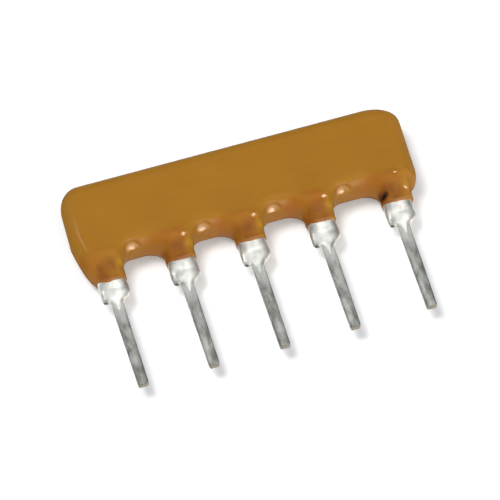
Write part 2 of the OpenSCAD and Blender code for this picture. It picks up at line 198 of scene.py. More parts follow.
def closed(mesh):
    """Merges doubled points and turns every face outwards."""
    bm = bmesh.new()
    bm.from_mesh(mesh)
    bmesh.ops.remove_doubles(bm, verts=bm.verts, dist=MERGE_WITHIN * MM)
    bmesh.ops.recalc_face_normals(bm, faces=bm.faces)
    bm.to_mesh(mesh)
    bm.free()


def shade_smooth(mesh):
    mesh.polygons.foreach_set("use_smooth", [True] * len(mesh.polygons))
    mesh.update()


def paint(mesh, name, value):
    """Keeps one number from 0 to 1 at every point of a mesh, for its material to read."""
    layer = mesh.attributes.new(name, "FLOAT", "POINT")
    layer.data.foreach_set("value", np.clip(value, 0, 1).astype(np.float32))


# Materials

# Sockets of the Mix node, which has its own set for colours and for numbers
COLOUR_A, COLOUR_B, COLOUR = 6, 7, 2
NUMBER_A, NUMBER_B, NUMBER = 2, 3, 0
# Sockets of the Compare node for whole numbers
WHOLE_A, WHOLE_B = 2, 3


def linear(code):
    """Linear RGBA of an sRGB hex colour."""
    parts = [int(code[k:k + 2], 16) / 255 for k in (1, 3, 5)]
    return tuple(p / 12.92 if p <= 0.04045 else ((p + 0.055) / 1.055) ** 2.4 for p in parts) + (1.0,)


def feed(tree, node, inputs):
    """Sets a node's inputs, to values or to (node, output) links."""
    for key, value in inputs.items():
        if isinstance(value, tuple) and isinstance(value[0], bpy.types.Node):
            tree.links.new(value[0].outputs[value[1]], node.inputs[key])
        else:
            node.inputs[key].default_value = value


def add(tree, kind, inputs=None, **settings):
    """Adds a node with its properties and its inputs."""
    node = tree.nodes.new(kind)
    for key, value in settings.items():
        setattr(node, key, value)
    feed(tree, node, inputs or {})
    return node


def new_material(name):
    """An empty material, its tree, its shader and the coordinates of the piece."""
    material = bpy.data.materials.new(name)
    material.use_nodes = True
    tree = material.node_tree
    tree.nodes.clear()
    shader = add(tree, "ShaderNodeBsdfPrincipled")
    add(tree, "ShaderNodeOutputMaterial", {"Surface": (shader, "BSDF")})
    return material, tree, shader, (add(tree, "ShaderNodeTexCoord"), "Object")


def per_mm(size):
    """Texture scale for a pattern whose features are this many millimetres apart."""
    return 1 / (size * MM)


def dipped_epoxy():
    # Ochre epoxy, dipped and baked: a satin skin with a faint orange peel and flow lines along the body, wet
    # only on its beads. Painted shade makes it redder and browner where it hangs under the ceramic and on the
    # tabs, painted light makes it paler over the right edge of a clip, and painted shade darkens its edges.
    material, tree, shader, place = new_material("dipped_epoxy")
    mottle = add(tree, "ShaderNodeTexNoise", {"Vector": place, "Scale": per_mm(1.6), "Detail": 3.0})
    blotch = add(tree, "ShaderNodeTexNoise", {"Vector": place, "Scale": per_mm(0.45), "Detail": 2.0})
    peel = add(tree, "ShaderNodeTexNoise", {"Vector": place, "Scale": per_mm(0.5), "Detail": 1.0})
    stretch = add(tree, "ShaderNodeMapping", {"Vector": place, "Scale": (0.07, 1.0, 1.0)})
    flow = add(tree, "ShaderNodeTexNoise", {"Vector": (stretch, "Vector"), "Scale": per_mm(0.16),
                                            "Detail": 2.0})
    lines = add(tree, "ShaderNodeMapRange", {"Value": (flow, "Fac"), "From Min": 0.3, "From Max": 0.7,
                                             "To Min": 0.0, "To Max": 0.2})
    uneven = add(tree, "ShaderNodeMapRange", {"Value": (blotch, "Fac"), "From Min": 0.3, "From Max": 0.7,
                                              "To Min": 0.35, "To Max": 1.0})
    shares = {name: (add(tree, "ShaderNodeAttribute", attribute_name=name), "Fac")
              for name in ("low_shade", "tab_shade", "lit_tab_side", "rim", "scorch", "dull", "wet")}
    for name in ("low_shade", "tab_shade"):
        broken = add(tree, "ShaderNodeMath", {0: shares[name], 1: (uneven, "Result")}, operation="MULTIPLY")
        shares[name] = (broken, "Value")
    shares["lines"] = (lines, "Result")
    tone = add(tree, "ShaderNodeMix", {"Factor": (mottle, "Fac"), COLOUR_A: linear("#A26E1E"),
                                       COLOUR_B: linear("#AC7826")}, data_type="RGBA")
    # Flow lines, painted shade low and on the tabs, painted light on tab sides, painted edge shade, scorch
    for name, code in (("lines", "#96661B"), ("low_shade", "#A4631F"), ("tab_shade", "#7C4712"), ("lit_tab_side", "#CDA220"),
                       ("rim", "#4A3410"), ("scorch", "#1E0F06")):
        tone = add(tree, "ShaderNodeMix", {"Factor": shares[name], COLOUR_A: (tone, COLOUR),
                                           COLOUR_B: linear(code)}, data_type="RGBA")
    satin = add(tree, "ShaderNodeMapRange", {"Value": (mottle, "Fac"), "To Min": 0.46, "To Max": 0.54})
    matt = add(tree, "ShaderNodeMix", {"Factor": shares["dull"], NUMBER_A: (satin, "Result"), NUMBER_B: 0.9},
               data_type="FLOAT")
    gloss = add(tree, "ShaderNodeMix", {"Factor": shares["wet"], NUMBER_A: (matt, NUMBER), NUMBER_B: 0.17},
                data_type="FLOAT")
    bump = add(tree, "ShaderNodeBump", {"Height": (peel, "Fac"), "Strength": 0.12, "Distance": 0.05 * MM})
    feed(tree, shader, {"Base Color": (tone, COLOUR), "Roughness": (gloss, NUMBER),
                        "Normal": (bump, "Normal"), "IOR": 1.5, "Specular IOR Level": 0.1})
    return material


def bright_solder():
    # Tin-lead solder frozen on the clips: bright, smooth metal with a frosty skin and soft ripples. The ledge
    # under its left corner is painted dark, as shade where it faces down.
    material, tree, shader, place = new_material("bright_solder")
    frost = add(tree, "ShaderNodeTexNoise", {"Vector": place, "Scale": per_mm(0.35), "Detail": 3.0})
    cloud = add(tree, "ShaderNodeMapRange", {"Value": (frost, "Fac"), "From Min": 0.3, "From Max": 0.65})
    tone = add(tree, "ShaderNodeMix", {"Factor": (cloud, "Result"), COLOUR_A: linear("#B9BBB5"),
                                       COLOUR_B: linear("#EDEEE9")}, data_type="RGBA")
    ledge = add(tree, "ShaderNodeAttribute", attribute_name="painted_ledge_shade")
    edged = add(tree, "ShaderNodeMix", {"Factor": (ledge, "Fac"), COLOUR_A: (tone, COLOUR),
                                        COLOUR_B: linear("#4C4E4A")}, data_type="RGBA")
    rough = add(tree, "ShaderNodeMapRange", {"Value": (frost, "Fac"), "To Min": 0.4, "To Max": 0.52})
    bump = add(tree, "ShaderNodeBump", {"Height": (frost, "Fac"), "Strength": 0.12, "Distance": 0.03 * MM})
    feed(tree, shader, {"Base Color": (edged, COLOUR), "Roughness": (rough, "Result"),
                        "Normal": (bump, "Normal"), "Metallic": 1.0})
    return material


def tinned_strip():
    # Stamped lead strip with a matt tin plate: satin grey, with drawing marks along the pin and dull patches.
    # Solder runs thin below the clip, and the sheared tip is bare.
    material, tree, shader, place = new_material("tin_plated_strip")
    along = add(tree, "ShaderNodeMapping", {"Vector": place, "Scale": (1.0, 0.12, 1.0)})
    marks = add(tree, "ShaderNodeTexNoise", {"Vector": (along, "Vector"), "Scale": per_mm(0.12),
                                             "Detail": 2.0})
    stretch = add(tree, "ShaderNodeMapping", {"Vector": place, "Scale": (1.0, 0.4, 1.0)})
    patch = add(tree, "ShaderNodeTexNoise", {"Vector": (stretch, "Vector"), "Scale": per_mm(0.2),
                                             "Detail": 3.0})
    dull = add(tree, "ShaderNodeMapRange", {"Value": (patch, "Fac"), "From Min": 0.36, "From Max": 0.64})
    split = add(tree, "ShaderNodeSeparateXYZ", {"Vector": place})
    tip_y = SEAT_Y - PIN_LENGTH
    wetted = add(tree, "ShaderNodeMapRange", {"Value": (split, "Y"), "From Min": (SEAT_Y - WASH_END) * MM,
                                              "From Max": (SEAT_Y - WASH_FULL) * MM,
                                              "To Min": 0.0, "To Max": 0.7})
    bare = add(tree, "ShaderNodeMapRange", {"Value": (split, "Y"), "From Min": (tip_y + BARE_FROM) * MM,
                                            "From Max": (tip_y + BARE_FULL) * MM})
    tone = add(tree, "ShaderNodeMix", {"Factor": (dull, "Result"), COLOUR_A: linear("#6A6C67"),
                                       COLOUR_B: linear("#9C9D98")}, data_type="RGBA")
    for share, code in ((wetted, "#CBCCC7"), (bare, "#7E7F7A")):
        tone = add(tree, "ShaderNodeMix", {"Factor": (share, "Result"), COLOUR_A: (tone, COLOUR),
                                           COLOUR_B: linear(code)}, data_type="RGBA")
    satin = add(tree, "ShaderNodeMapRange", {"Value": (marks, "Fac"), "To Min": 0.32, "To Max": 0.52})
    rough = add(tree, "ShaderNodeMix", {"Factor": (bare, "Result"), NUMBER_A: (satin, "Result"),
                                        NUMBER_B: 0.9}, data_type="FLOAT")
    bump = add(tree, "ShaderNodeBump", {"Height": (marks, "Fac"), "Strength": 0.15, "Distance": 0.02 * MM})
    feed(tree, shader, {"Base Color": (tone, COLOUR), "Roughness": (rough, NUMBER),
                        "Normal": (bump, "Normal"), "Metallic": 1.0})
    return material


def fired_layer(name, dark, light, grain, metallic, roughness):
    # A fired layer inside the coat: its grain shows as a fine speckle in colour and gloss
    material, tree, shader, place = new_material(name)
    speck = add(tree, "ShaderNodeTexNoise", {"Vector": place, "Scale": per_mm(grain), "Detail": 4.0})
    tone = add(tree, "ShaderNodeMix", {"Factor": (speck, "Fac"), COLOUR_A: linear(dark),
                                       COLOUR_B: linear(light)}, data_type="RGBA")
    spread = 0.08
    rough = add(tree, "ShaderNodeMapRange", {"Value": (speck, "Fac"), "To Min": roughness - spread,
                                             "To Max": roughness + spread})
    feed(tree, shader, {"Base Color": (tone, COLOUR), "Roughness": (rough, "Result"), "Metallic": metallic})
    return material


EPOXY = dipped_epoxy()
SOLDER = bright_solder()
TIN = tinned_strip()
# Name, dark and light colour, grain in millimetres, metallic and roughness
ALUMINA = fired_layer("alumina_ceramic", "#DEDBD0", "#F1EEE6", 0.05, 0.0, 0.55)
SILVER = fired_layer("fired_silver_paste", "#B5B3AC", "#D8D6CF", 0.08, 1.0, 0.42)
RUTHENATE = fired_layer("fired_resistor_paste", "#17171A", "#2C2C31", 0.06, 0.0, 0.5)
GLAZE = fired_layer("overglaze_glass", "#1F4A35", "#2D6148", 0.2, 0.0, 0.16)


# Coat: a fine skin on the same rules as the solid, with the small bumps of the real dip

def from_leads(x):
    """Signed distance from the nearest lead."""
    away = np.array([x - lead for lead in LEAD_X])
    return np.take_along_axis(away, np.argmin(np.abs(away), axis=0)[None], axis=0)[0]


def tab_share(y):
    """How far the coat has thinned towards the tabs: 0 on the body and 1 at their ends."""
    start = CHIP_BOTTOM - TAB_LEAD_IN
    return ramp(y, start, TAB_BOTTOM - start)


def front_z(x, y):
    """Front of the coat: flat, swollen over the clips and falling towards the tabs on the leads."""
    away = np.abs(from_leads(x))
    swell = CLIP_SWELL * (1 - smooth(away / SWELL_HALF)) * ramp(y, CLIP_TOP, -SWELL_FADE)
    bulge = PRONG_BULGE * np.exp(-(away / PRONG_HALF) ** 2) * ramp(y, BULGE_TOP, -BULGE_FADE)
    return FACE_Z + swell + bulge - TAB_FALL * tab_share(y)


def back_z(y):
    """Back of the coat: flat, and rising towards the tabs."""
    return TAB_RISE * tab_share(y)


# Which way a stretch of the outline curves: the way into the coat is towards or away from its centre
ROUND, HOLLOW = -1, 1


def arc(center, radii, start, end, way, depth_start, depth_end):
    """Outline points on an arc, each with the way into the coat and the depth of its edge rounding."""
    out = []
    for k in range(ARC_STEPS + 1):
        t = k / ARC_STEPS
        a = math.radians(mix(start, end, t))
        out.append((center[0] + radii[0] * math.cos(a), center[1] + radii[1] * math.sin(a),
                    way * math.cos(a), way * math.sin(a), mix(depth_start, depth_end, t)))
    return out


def coat_arcs():
    """The outline as arcs, from the left end along the leads and back over the top edge."""
    tab_y = TAB_BOTTOM + TAB_ROUND
    arch_y = ARCH_HEIGHT - ARCH_DROP
    tab = (TAB_HALF, TAB_ROUND)
    corner = (LOW_LEFT[0] - HALF_L, LOW_LEFT_Y + LOW_LEFT[1])
    run = arc(corner, LOW_LEFT, 180, 270, ROUND, END_ROUND, TAB_ROUND)
    tabs = [lead + TAB_SHIFT for lead in LEAD_X]
    for left, right in zip(tabs[:-1], tabs[1:]):
        low = FIRST_TAB + TAB_ROUND if left == tabs[0] else tab_y
        rising = (left + TAB_HALF + ARCH_LEFT, arch_y)
        falling = (right - TAB_HALF - ARCH_RIGHT, arch_y)
        run += arc((left, low), tab, 270, 360, ROUND, TAB_ROUND, TAB_ROUND)
        run += arc(rising, (ARCH_LEFT, ARCH_DROP), 180, 90, HOLLOW, TAB_ROUND, EDGE_ROUND)
        run += arc(falling, (ARCH_RIGHT, ARCH_DROP), 90, 0, HOLLOW, EDGE_ROUND, TAB_ROUND)
        run += arc((right, tab_y), tab, 180, 270, ROUND, TAB_ROUND, TAB_ROUND)
    last_half = TAB_HALF + RIGHT_TAB_EXTRA
    run += arc((tabs[-1], tab_y), (last_half, TAB_ROUND), 270, 360, ROUND, TAB_ROUND, TAB_ROUND)
    hollow = (tabs[-1] + last_half + RIGHT_HOLLOW[0], RIGHT_LEVEL - RIGHT_HOLLOW[1])
    run += arc(hollow, RIGHT_HOLLOW, 180, 90, HOLLOW, TAB_ROUND, TAB_ROUND)
    corner = (HALF_L - LOW_RIGHT[0], RIGHT_LEVEL + LOW_RIGHT[1])
    run += arc(corner, LOW_RIGHT, 270, 360, ROUND, TAB_ROUND, END_ROUND)
    corner = (HALF_L - TOP_RIGHT[0], COAT_TOP - TOP_RIGHT[1])
    run += arc(corner, TOP_RIGHT, 0, 90, ROUND, END_ROUND, EDGE_ROUND)
    corner = (TOP_LEFT[0] - HALF_L, COAT_TOP - TOP_LEFT[1])
    run += arc(corner, TOP_LEFT, 90, 180, ROUND, EDGE_ROUND, END_ROUND)
    return np.array(run + run[:1])


def coat_outline():
    """The whole outline with its ends bowed out, at even spacing."""
    run = coat_arcs()
    x, y = run[:, 0], run[:, 1]
    left_share = ramp(x, LEAD_X[0], -LEFT_OVERHANG)
    right_share = ramp(x, LEAD_X[-1], RIGHT_OVERHANG)
    left_bow = LEFT_BOW * np.exp(-((y - LEFT_BOW_Y) / LEFT_BOW_HALF) ** 2)
    right_bow = RIGHT_BOW * ramp(y, RIGHT_BOW_Y, RIGHT_BOW_RISE)
    run[:, 0] = x - left_bow * left_share + right_bow * right_share
    step = np.hypot(*np.diff(run[:, :2], axis=0).T)
    run = run[np.concatenate([[True], step > SAME_PLACE])]
    length = np.concatenate([[0], np.cumsum(np.hypot(*np.diff(run[:, :2], axis=0).T))])
    even = np.linspace(0, length[-1], int(length[-1] / RIM_SPACING), endpoint=False)
    run = np.stack([np.interp(even, length, column) for column in run.T], axis=1)
    run[:, 2:4] /= np.hypot(run[:, 2], run[:, 3])[:, None]
    return run


def rim_rows(outline):
    """The rounded rim from front to back at every point of the outline, softer on the leads."""
    depth = outline[:, 4:5]
    inner = outline[:, :2] + outline[:, 2:4] * depth
    front = front_z(inner[:, 0], inner[:, 1])
    back = back_z(inner[:, 1])
    power = np.interp(depth[:, 0], (TAB_ROUND, EDGE_ROUND), (TAB_POWER, EDGE_POWER))
    out = []
    for k in range(RIM_ROWS + 1):
        a = math.pi * k / RIM_ROWS
        reach = math.sin(a) ** (2 / power) if 0 < k < RIM_ROWS else np.zeros(len(power))
        over = math.copysign(1, math.cos(a)) * abs(math.cos(a)) ** (2 / power)
        place = outline[:, :2] + outline[:, 2:4] * depth * (1 - reach[:, None])
        out.append(np.column_stack([place, mix(back, front, (1 + over) / 2)]))
    return np.stack(out, axis=1)


def inside(loop, at):
    """Which points lie inside a closed loop."""
    odd = np.zeros(len(at), dtype=bool)
    for (x0, y0), (x1, y1) in zip(loop, np.roll(loop, -1, axis=0)):
        if y0 != y1:
            spanned = (y0 > at[:, 1]) != (y1 > at[:, 1])
            odd ^= spanned & (at[:, 0] < x0 + (at[:, 1] - y0) * (x1 - x0) / (y1 - y0))
    return odd


def filled(loop):
    """Triangles that fill a closed loop, finer in its lower part: their points and faces."""
    low, high = loop.min(axis=0), loop.max(axis=0)
    grid = []
    for spacing, start, end in ((FINE, low[1], FINE_TOP), (COARSE, FINE_TOP, high[1])):
        rows = np.arange(start, end, spacing * math.sqrt(3) / 2)
        spots = np.array([(x + spacing / 2 * (r % 2), y) for r, y in enumerate(rows)
                          for x in np.arange(low[0], high[0], spacing)])
        spots = spots[inside(loop, spots)]
        near = np.array([np.min(np.hypot(*(loop - spot).T)) for spot in spots])
        grid.append(spots[near > EDGE_CLEAR * spacing])
    count = len(loop)
    edges = [(k, (k + 1) % count) for k in range(count)]
    points = [Vector(p) for p in np.concatenate([loop] + grid)]
    made = delaunay_2d_cdt(points, edges, [], 1, SAME_FLAT)
    return np.array([tuple(p) for p in made[0]]), [tuple(f) for f in made[2]]


def plain_skin():
    """Points and faces of the coat before its small bumps: the rim, then the front and the back."""
    rim = rim_rows(coat_outline())
    count, width = rim.shape[:2]
    points = rim.reshape(-1, 3).tolist()
    faces = []
    for p in range(count):
        here, there = p * width, (p + 1) % count * width
        faces += [(here + k, here + k + 1, there + k + 1, there + k) for k in range(RIM_ROWS)]
    flat, triangles = filled(rim[:, 0, :2])
    for height, flip in ((front_z(flat[:, 0], flat[:, 1]), False), (back_z(flat[:, 1]), True)):
        base = len(points)
        points += np.column_stack([flat, height]).tolist()
        faces += [tuple(base + v for v in (t[::-1] if flip else t)) for t in triangles]
    return np.array(points), faces


def dipped_coat():
    """The coat with its beads, its burnt pit and its paint."""
    points, faces = plain_skin()
    for spot, reach in BEADS:
        away = points - points[np.argmin(np.linalg.norm(points - spot, axis=1))]
        far = np.linalg.norm(away, axis=1)
        rise = away @ BEAD_WAY + far ** 2 / (2 * BEAD_CURVE)
        points -= (ramp(far, reach, -reach / 2) * rise)[:, None] * BEAD_WAY
    pit = np.exp(-oval(points[:, 0], points[:, 1], PIT, (PIT_R, PIT_R)) ** 2)
    points[:, 2] -= PIT_DEPTH * pit * (points[:, 2] > MID_Z)
    obj = mesh_object("dipped_coat", points, faces, EPOXY)
    closed(obj.data)
    shade_smooth(obj.data)
    paint_coat(obj.data)
    return obj


def low_shade_along(x):
    """Strength of the painted shade along the row: most from the middle of an arch to the lead on its right.
    """
    stops = [(-HALF_L, 1.0), (LEAD_X[0] + LOW_SHADE_OUT[1], LOW_SHADE_LEAST)]
    for lead in LEAD_X[1:]:
        stops += [(lead + LOW_SHADE_IN[0], LOW_SHADE_LEAST), (lead + LOW_SHADE_IN[1], 1.0)]
        stops += [(lead + LOW_SHADE_OUT[0], 1.0), (lead + LOW_SHADE_OUT[1], LOW_SHADE_LEAST)]
    stops.append((HALF_L, LOW_SHADE_RIGHT_END))
    return np.interp(x, *np.transpose(stops))


def wet_share(at):
    """Where the coat stayed wet and glossy: the beads, and the streak down the left end."""
    wet = np.zeros(len(at))
    for spot, reach in BEADS:
        wet = np.maximum(wet, np.exp(-(np.linalg.norm(at - spot, axis=1) / (WET_SHARE * reach)) ** 4))
    run = np.array(STREAK_END) - STREAK_TOP
    share = np.clip((at[:, :2] - STREAK_TOP) @ run / (run @ run), 0, 1)
    off = np.hypot(*(at[:, :2] - STREAK_TOP - share[:, None] * run).T)
    streak = mix(STREAK_LEAST, 1.0, share) * np.exp(-(off / STREAK_HALF) ** 4)
    return np.maximum(wet, streak * (at[:, 2] > MID_Z))


def paint_coat(mesh):
    """Paints what the epoxy reads: painted shade and light, dull sides, wet spots and scorch."""
    at = np.array([v.co for v in mesh.vertices]) / MM - [0, SEAT_Y, 0]
    x, y, z = at.T
    facing_x, facing_y, facing_z = np.array([v.normal for v in mesh.vertices]).T
    away = from_leads(x)
    # Painted shade, redder, low on the coat where it faces away from the light
    paint(mesh, "low_shade", ramp(y, *LOW_SHADE_HEIGHT) * low_shade_along(x))
    # Painted shade, dark brown, on the tabs
    paint(mesh, "tab_shade", ramp(y, *TAB_SHADE_HEIGHT) * np.exp(-((away - TAB_SHADE_X) / TAB_SHADE_HALF) ** 4))
    # Painted light: a pale yellow where the right side of each tab faces the light
    strength = np.where(x > LEAD_X[-1], LIT_SIDE_LAST, LIT_SIDE_MOST)
    paint(mesh, "lit_tab_side", strength * np.exp(-oval(away, y, LIT_SIDE_AT, LIT_SIDE_HALF)))
    # Painted shade: dark lines where the top edge and the ends turn away, and on the sides facing the floor
    top = ramp(facing_y, *TOP_LINE_EASE) * np.exp(-((facing_z - TOP_LINE) / TOP_LINE_HALF) ** 2)
    off_line = facing_z - END_LINE_TILT * facing_x
    ends = ramp(np.abs(facing_x), *END_LINE_EASE) * np.exp(-(off_line / END_LINE_HALF) ** 2)
    back = ramp(facing_z, *BACK_LINE_IN) * ramp(facing_z, *BACK_LINE_OUT)
    paint(mesh, "rim", EDGE_DARKNESS * np.max([TOP_LINE_SHARE * top, END_LINE_SHARE * ends, back], axis=0))
    paint(mesh, "dull", ramp(facing_z, *DULL_SIDE) * ramp(facing_y, *DULL_AWAY))
    paint(mesh, "wet", wet_share(at))
    burnt = np.exp(-oval(x, y, PIT, SCORCH_HALF) ** 2)
    tail = TAIL_SHARE * np.exp(-oval(x, y, TAIL_AT, TAIL_HALF))
    paint(mesh, "scorch", np.maximum(burnt, tail) * (z > MID_Z))


# Rows: one shape repeated along the leads

def row_tree(name, material):
    """A tree that repeats a shape at every lead and ripples its surface. Its sizes are its inputs."""
    tree = bpy.data.node_groups.new(name + "_row", "GeometryNodeTree")
    tree.interface.new_socket("Geometry", in_out="OUTPUT", socket_type="NodeSocketGeometry")
    tree.interface.new_socket("Shape", in_out="INPUT", socket_type="NodeSocketObject")
    tree.interface.new_socket("Leads", in_out="INPUT", socket_type="NodeSocketInt")
    for label in ("First", "Pitch", "Last drift", "Ripple", "Ripple size"):
        tree.interface.new_socket(label, in_out="INPUT", socket_type="NodeSocketFloat")
    given = add(tree, "NodeGroupInput")
    start = add(tree, "ShaderNodeCombineXYZ", {"X": (given, "First")})
    step = add(tree, "ShaderNodeCombineXYZ", {"X": (given, "Pitch")})
    line = add(tree, "GeometryNodeMeshLine", {"Count": (given, "Leads"), "Start Location": (start, "Vector"),
                                              "Offset": (step, "Vector")})
    index = add(tree, "GeometryNodeInputIndex")
    last = add(tree, "ShaderNodeMath", {0: (given, "Leads"), 1: 1.0}, operation="SUBTRACT")
    is_last = add(tree, "FunctionNodeCompare", {WHOLE_A: (index, "Index"), WHOLE_B: (last, "Value")},
                  data_type="INT", operation="EQUAL")
    drift = add(tree, "ShaderNodeCombineXYZ", {"X": (given, "Last drift")})
    drifted = add(tree, "GeometryNodeSetPosition", {"Geometry": (line, "Mesh"), "Offset": (drift, "Vector"),
                                                    "Selection": (is_last, "Result")})
    piece = add(tree, "GeometryNodeObjectInfo", {"Object": (given, "Shape")})
    placed = add(tree, "GeometryNodeInstanceOnPoints", {"Points": (drifted, "Geometry"),
                                                        "Instance": (piece, "Geometry")})
    solid = add(tree, "GeometryNodeRealizeInstances", {"Geometry": (placed, "Instances")})
    where = add(tree, "GeometryNodeInputPosition")
    pace = add(tree, "ShaderNodeMath", {0: 1.0, 1: (given, "Ripple size")}, operation="DIVIDE")
    noise = add(tree, "ShaderNodeTexNoise", {"Vector": (where, "Position"), "Scale": (pace, "Value"),
                                             "Detail": 1.0})
    centred = add(tree, "ShaderNodeVectorMath", {0: (noise, "Color"), 1: (0.5, 0.5, 0.5)},
                  operation="SUBTRACT")
    push = add(tree, "ShaderNodeVectorMath", {0: (centred, "Vector"), "Scale": (given, "Ripple")},
               operation="SCALE")
    rippled = add(tree, "GeometryNodeSetPosition", {"Geometry": (solid, "Geometry"),
                                                    "Offset": (push, "Vector")})
    dressed = add(tree, "GeometryNodeSetMaterial", {"Geometry": (rippled, "Geometry"), "Material": material})
    add(tree, "NodeGroupOutput", {"Geometry": (dressed, "Geometry")})
    return tree


def row_of_leads(name, shape, material, ripple, ripple_size):
    """A plain mesh of the shape at every lead. The shape itself is used up."""
    holder = link(name + "_holder", bpy.data.meshes.new(name + "_holder"))
    modifier = holder.modifiers.new("row", "NODES")
    modifier.node_group = row_tree(name, material)
    values = {"Shape": shape, "Leads": LEAD_COUNT, "First": LEAD_X[0] * MM, "Pitch": PITCH * MM,
              "Last drift": LAST_DRIFT * MM, "Ripple": ripple * MM, "Ripple size": ripple_size * MM}
    for item in modifier.node_group.interface.items_tree:
        if item.in_out == "INPUT":
            modifier[item.identifier] = values[item.name]
    view = bpy.context.evaluated_depsgraph_get()
    mesh = bpy.data.meshes.new_from_object(holder.evaluated_get(view))
    mesh.name = name
    bpy.data.objects.remove(holder)
    bpy.data.objects.remove(shape)
    shade_smooth(mesh)
    return link(name, mesh)


# Solder, which follows the bend of the prongs inside it

def bend_slope(shift):
    """Length of the straight stretch in the S bend of a prong."""
    return (shift - 2 * BEND_R * (1 - math.cos(BEND_ANGLE))) / math.sin(BEND_ANGLE)


def bend_run(shift):
    """Height that the S bend of a prong takes up."""
    return 2 * BEND_R * math.sin(BEND_ANGLE) + bend_slope(shift) * math.cos(BEND_ANGLE)


def prong_bend(y, shift):
    """How far out of the strip the solder is carried by a prong at height y."""
    return shift * ramp(y, SHOULDER_H, bend_run(shift))


def solder_section(y, left, right, front, back):
    """Closed section at height y: domed in front and behind, with its own half width on each side."""
    ring = []
    for k in range(2 * SECTION_STEPS):
        a = math.pi * k / SECTION_STEPS
        u = math.copysign(abs(math.cos(a)) ** (2 / DOME_POWER), math.cos(a))
        v = math.copysign(abs(math.sin(a)) ** (2 / DOME_POWER), math.sin(a))
        ring.append(((right if u > 0 else left) * u, y, MID_Z + v * (front if v > 0 else back)))
    return ring


def solder_levels():
    """Sections of the solder: a tongue down the pin, the corners of the shoulder, then up to the ceramic."""
    front = LEAD_T / 2 - SOLDER_SINK
    levels = []
    for y, left, right, back in TONGUE + CORNER:
        levels.append((y, left, right, front + SOLDER_RISE * ramp(y, -TONGUE_L, TONGUE_EASE), back))
    for y in np.linspace(CLIP_FROM, SOLDER_TOP, CLIP_LEVELS):
        half = CLIP_HALF - PRONG_INSET / 2 * ramp(y, SHOULDER_H, SHOULDER_H)
        skin = min(SOLDER_RISE * ramp(y, -TONGUE_L, TONGUE_EASE),
                   mix(SOLDER_RISE, SOLDER_SKIN, ramp(y, *SKIN_THINS)))
        spread = RIGHT_SPREAD * (1 - ramp(y, *SPREAD_ENDS))
        right = mix(CORNER_RIGHT, half + spread, ramp(y, *SPREAD_STARTS))
        left = mix(half - LEFT_TRIM, INNER_LEFT, ramp(y, *LEFT_NARROWS))
        levels.append((y, left, right, front + skin + prong_bend(y, FRONT_SHIFT),
                       LEAD_T / 2 + SOLDER_SKIN + prong_bend(y, BACK_SHIFT)))
    return levels


def solder_shape():
    """The solder round one clip, with painted shade on its ledge."""
    rings = [solder_section(*level) for level in solder_levels()]
    width = len(rings[0])
    points = [p for ring in rings for p in ring]
    faces = []
    for r in range(len(rings) - 1):
        for p in range(width):
            q = (p + 1) % width
            faces.append((r * width + p, r * width + q, (r + 1) * width + q, (r + 1) * width + p))
    for r in (0, len(rings) - 1):
        hub = len(points)
        points.append(tuple(np.mean(rings[r], axis=0)))
        faces += [(r * width + p, r * width + (p + 1) % width, hub) for p in range(width)]
    obj = mesh_object("solder_shape", points, faces, SOLDER)
    closed(obj.data)
    at = np.array([v.co for v in obj.data.vertices]) / MM - [0, SEAT_Y, 0]
    # Painted shade on the ledge under the left corner, where the solder faces down
    facing_y = np.array([v.normal.y for v in obj.data.vertices])
    ledge = ramp(facing_y, *LEDGE_FACING) * (at[:, 1] > LEDGE_LOW) * (at[:, 1] < LEDGE_HIGH)
    paint(obj.data, "painted_ledge_shade", ledge * ramp(-at[:, 0], *LEDGE_FROM))
    return obj


# Leads

def plate(bm, outline, low, high, axes, edge):
    """Adds a bevelled plate: an outline in two axes, drawn out along the third between two levels."""
    def place(p, level):
        out = np.zeros(3)
        out[list(axes)] = p[0], p[1], level
        return (out + [0, SEAT_Y, 0]) * MM
    bottom = [bm.verts.new(place(p, low)) for p in outline]
    top = [bm.verts.new(place(p, high)) for p in outline]
    count = len(outline)
    made = [bm.faces.new(bottom[::-1]), bm.faces.new(top)]
    for k in range(count):
        n = (k + 1) % count
        made.append(bm.faces.new((bottom[k], bottom[n], top[n], top[k])))
    bmesh.ops.recalc_face_normals(bm, faces=made)
    sharp = [e for f in made for e in f.edges if len(e.link_faces) == 2 and e.calc_face_angle() > SHARP]
    bmesh.ops.bevel(bm, geom=list(set(sharp)), offset=edge * MM, segments=BEVEL_STEPS, profile=0.5,
                    affect="EDGES")


def quarter(x, y, radius, start):
    """Points of a quarter circle that turns on from an angle in degrees."""
    turns = [math.radians(start + 90 * k / QUARTER_STEPS) for k in range(QUARTER_STEPS + 1)]
    return [(x + radius * math.cos(a), y + radius * math.sin(a)) for a in turns]


def strip_outline():
    """Pin and shoulder of one lead, as stamped."""
    half, tip, wide, r = PIN_W / 2, TIP_W / 2, WRAPPED_W / 2, SHOULDER_R
    run = [(-half, 0.0), (-tip, TIP_CUT - PIN_LENGTH), (TIP_CUT - tip, -PIN_LENGTH),
           (tip - TIP_CUT, -PIN_LENGTH), (tip, TIP_CUT - PIN_LENGTH), (half, 0.0)]
    run += quarter(wide - r, r, r, -90)
    run += [(wide, SHOULDER_H), (-wide, SHOULDER_H)]
    run += quarter(r - wide, r, r, 180)
    return run


